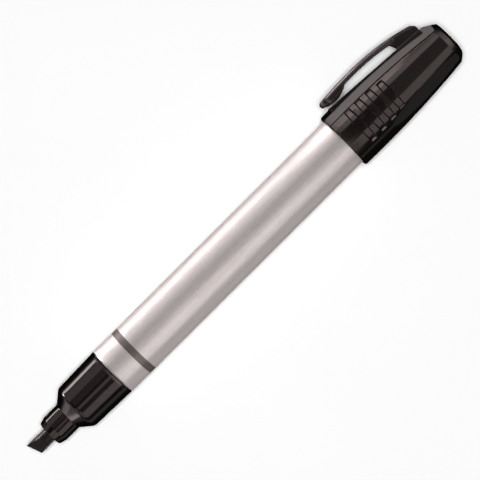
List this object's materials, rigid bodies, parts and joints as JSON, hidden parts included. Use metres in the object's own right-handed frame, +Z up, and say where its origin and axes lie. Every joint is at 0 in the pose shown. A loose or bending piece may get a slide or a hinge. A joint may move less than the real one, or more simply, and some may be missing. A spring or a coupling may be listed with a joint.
{
  "type": "chisel tip marker",
  "caption": "Marker pen with a round metal barrel, black tapered nose, slanted chisel nib and a facetted clip cap that pulls off the rear end.",
  "frame": {"origin": "on the barrel's axis, half way along the barrel", "axes": "+X along the marker from the nib towards the cap's end, +Y towards the pocket clip, +Z up out of the front panel with the grip pockets"},
  "size_m": [0.1645, 0.0218, 0.0182],
  "materials": {
    "satin_aluminium": "satin lacquered, printed with one grey ring",
    "nose_black": "glossy moulded black",
    "cap_black": "semi-gloss moulded black",
    "liner_white": "natural moulded",
    "nib_fibre": "bonded fibre soaked with black ink",
    "core_fibre": "loose fibre soaked with black ink",
    "clear_film": "thin film"
  },
  "bodies": {
    "marker_body": {"barrel": "satin_aluminium", "nose_section": "nose_black", "chisel_nib": "nib_fibre", "reservoir_core": "core_fibre", "reservoir_film": "clear_film"},
    "cap": {"cap_shell": "cap_black", "cap_liner": "liner_white"},
    "clip": {"pocket_clip": "cap_black"}
  },
  "joints": [
    {"name": "cap_slide", "type": "slide", "parent": "marker_body", "child": "cap", "axis": [1, 0, 0], "range_m": [0, 0.03]},
    {"name": "clip_flex", "type": "hinge", "parent": "cap", "child": "clip", "pos_m": [0.0705, 0.01061, 0], "axis": [0, 0, -1], "range_deg": [0, 6], "stiffness_Nm_per_rad": 0.42}
  ]
}
